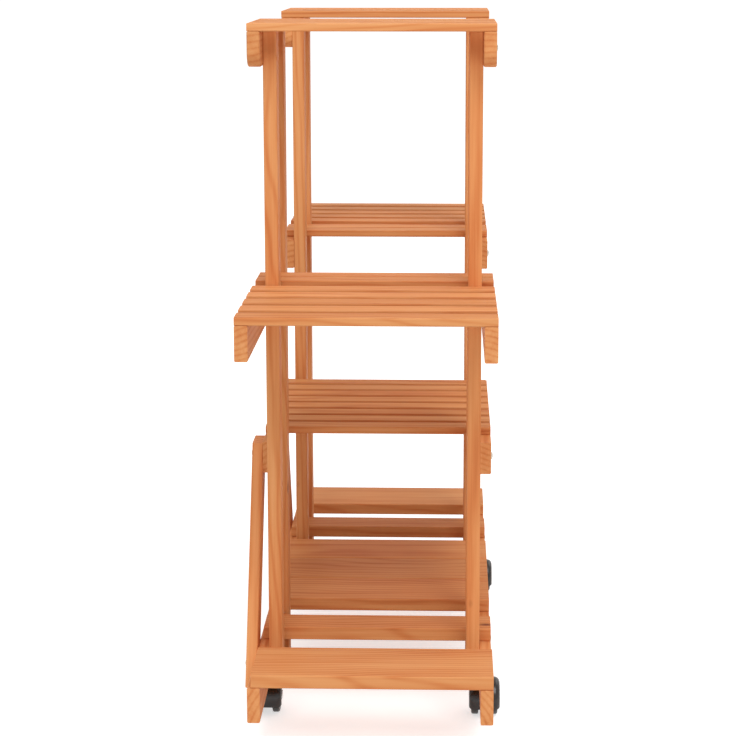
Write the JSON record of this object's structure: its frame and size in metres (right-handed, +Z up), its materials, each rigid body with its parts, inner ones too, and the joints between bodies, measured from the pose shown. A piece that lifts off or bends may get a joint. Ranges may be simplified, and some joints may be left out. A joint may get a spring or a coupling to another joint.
{
  "type": "flower cart stand",
  "caption": "Rolling wooden plant stand: two slatted towers with wing shelves and a lower centre shelf on a long base with swivel casters.",
  "frame": {"origin": "on the floor, under the middle of the box that holds the stand", "axes": "+X along the length towards the right tower, -Y the front, +Y the back with the braces, +Z up"},
  "size_m": [0.85, 0.2746, 0.75],
  "materials": {
    "stained_fir": "orange-brown stained fir, satin",
    "screw_steel": "zinc-plated, dull",
    "caster_steel": "plain bright steel",
    "hood_plastic": "black moulded nylon, glossy",
    "wheel_plastic": "black moulded nylon, satin"
  },
  "bodies": {
    "stand": {"back_rail_screws": "screw_steel", "base_end_board_left": "stained_fir", "base_end_board_right": "stained_fir", "base_middle_board_1": "stained_fir", "base_middle_board_2": "stained_fir", "base_middle_board_3": "stained_fir", "base_rail_back": "stained_fir", "base_rail_front": "stained_fir", "base_tower_board_left": "stained_fir", "base_tower_board_right": "stained_fir", "brace_bolts": "screw_steel", "brace_left": "stained_fir", "brace_right": "stained_fir", "caster_sockets": "hood_plastic", "caster_stem_back_left": "caster_steel", "caster_stem_back_right": "caster_steel", "caster_stem_front_left": "caster_steel", "caster_stem_front_right": "caster_steel", "centre_rail_back": "stained_fir", "centre_rail_front": "stained_fir", "centre_slats": "stained_fir", "front_rail_screws": "screw_steel", "left_inner_post_back": "stained_fir", "left_inner_post_front": "stained_fir", "left_outer_post_back": "stained_fir", "left_outer_post_front": "stained_fir", "left_top_rail_back": "stained_fir", "left_top_rail_front": "stained_fir", "left_top_slats": "stained_fir", "left_wing_rail_back": "stained_fir", "left_wing_rail_front": "stained_fir", "left_wing_slats": "stained_fir", "right_inner_post_back": "stained_fir", "right_inner_post_front": "stained_fir", "right_outer_post_back": "stained_fir", "right_outer_post_front": "stained_fir", "right_top_rail_back": "stained_fir", "right_top_rail_front": "stained_fir", "right_top_slats": "stained_fir", "right_wing_rail_back": "stained_fir", "right_wing_rail_front": "stained_fir", "right_wing_slats": "stained_fir"},
    "caster_front_left": {"caster_housing_front_left": "hood_plastic", "caster_axle_front_left": "caster_steel"},
    "wheel_front_left_inner": {"caster_wheel_front_left_inner": "wheel_plastic"},
    "wheel_front_left_outer": {"caster_wheel_front_left_outer": "wheel_plastic"},
    "caster_back_left": {"caster_housing_back_left": "hood_plastic", "caster_axle_back_left": "caster_steel"},
    "wheel_back_left_inner": {"caster_wheel_back_left_inner": "wheel_plastic"},
    "wheel_back_left_outer": {"caster_wheel_back_left_outer": "wheel_plastic"},
    "caster_front_right": {"caster_housing_front_right": "hood_plastic", "caster_axle_front_right": "caster_steel"},
    "wheel_front_right_inner": {"caster_wheel_front_right_inner": "wheel_plastic"},
    "wheel_front_right_outer": {"caster_wheel_front_right_outer": "wheel_plastic"},
    "caster_back_right": {"caster_housing_back_right": "hood_plastic", "caster_axle_back_right": "caster_steel"},
    "wheel_back_right_inner": {"caster_wheel_back_right_inner": "wheel_plastic"},
    "wheel_back_right_outer": {"caster_wheel_back_right_outer": "wheel_plastic"}
  },
  "joints": [
    {"name": "swivel_front_left", "type": "hinge", "parent": "stand", "child": "caster_front_left", "pos_m": [-0.208, -0.12035, 0.036], "axis": [0, 0, 1], "continuous": true},
    {"name": "roll_front_left_inner", "type": "hinge", "parent": "caster_front_left", "child": "wheel_front_left_inner", "pos_m": [-0.202, -0.10935, 0.019], "axis": [0, 1, 0], "continuous": true},
    {"name": "roll_front_left_outer", "type": "hinge", "parent": "caster_front_left", "child": "wheel_front_left_outer", "pos_m": [-0.202, -0.13135, 0.019], "axis": [0, 1, 0], "continuous": true},
    {"name": "swivel_back_left", "type": "hinge", "parent": "stand", "child": "caster_back_left", "pos_m": [-0.208, 0.11665, 0.036], "axis": [0, 0, 1], "continuous": true},
    {"name": "roll_back_left_inner", "type": "hinge", "parent": "caster_back_left", "child": "wheel_back_left_inner", "pos_m": [-0.202, 0.10565, 0.019], "axis": [0, 1, 0], "continuous": true},
    {"name": "roll_back_left_outer", "type": "hinge", "parent": "caster_back_left", "child": "wheel_back_left_outer", "pos_m": [-0.202, 0.12765, 0.019], "axis": [0, 1, 0], "continuous": true},
    {"name": "swivel_front_right", "type": "hinge", "parent": "stand", "child": "caster_front_right", "pos_m": [0.208, -0.12035, 0.036], "axis": [0, 0, 1], "continuous": true},
    {"name": "roll_front_right_inner", "type": "hinge", "parent": "caster_front_right", "child": "wheel_front_right_inner", "pos_m": [0.214, -0.10935, 0.019], "axis": [0, 1, 0], "continuous": true},
    {"name": "roll_front_right_outer", "type": "hinge", "parent": "caster_front_right", "child": "wheel_front_right_outer", "pos_m": [0.214, -0.13135, 0.019], "axis": [0, 1, 0], "continuous": true},
    {"name": "swivel_back_right", "type": "hinge", "parent": "stand", "child": "caster_back_right", "pos_m": [0.208, 0.11665, 0.036], "axis": [0, 0, 1], "continuous": true},
    {"name": "roll_back_right_inner", "type": "hinge", "parent": "caster_back_right", "child": "wheel_back_right_inner", "pos_m": [0.214, 0.10565, 0.019], "axis": [0, 1, 0], "continuous": true},
    {"name": "roll_back_right_outer", "type": "hinge", "parent": "caster_back_right", "child": "wheel_back_right_outer", "pos_m": [0.214, 0.12765, 0.019], "axis": [0, 1, 0], "continuous": true}
  ]
}
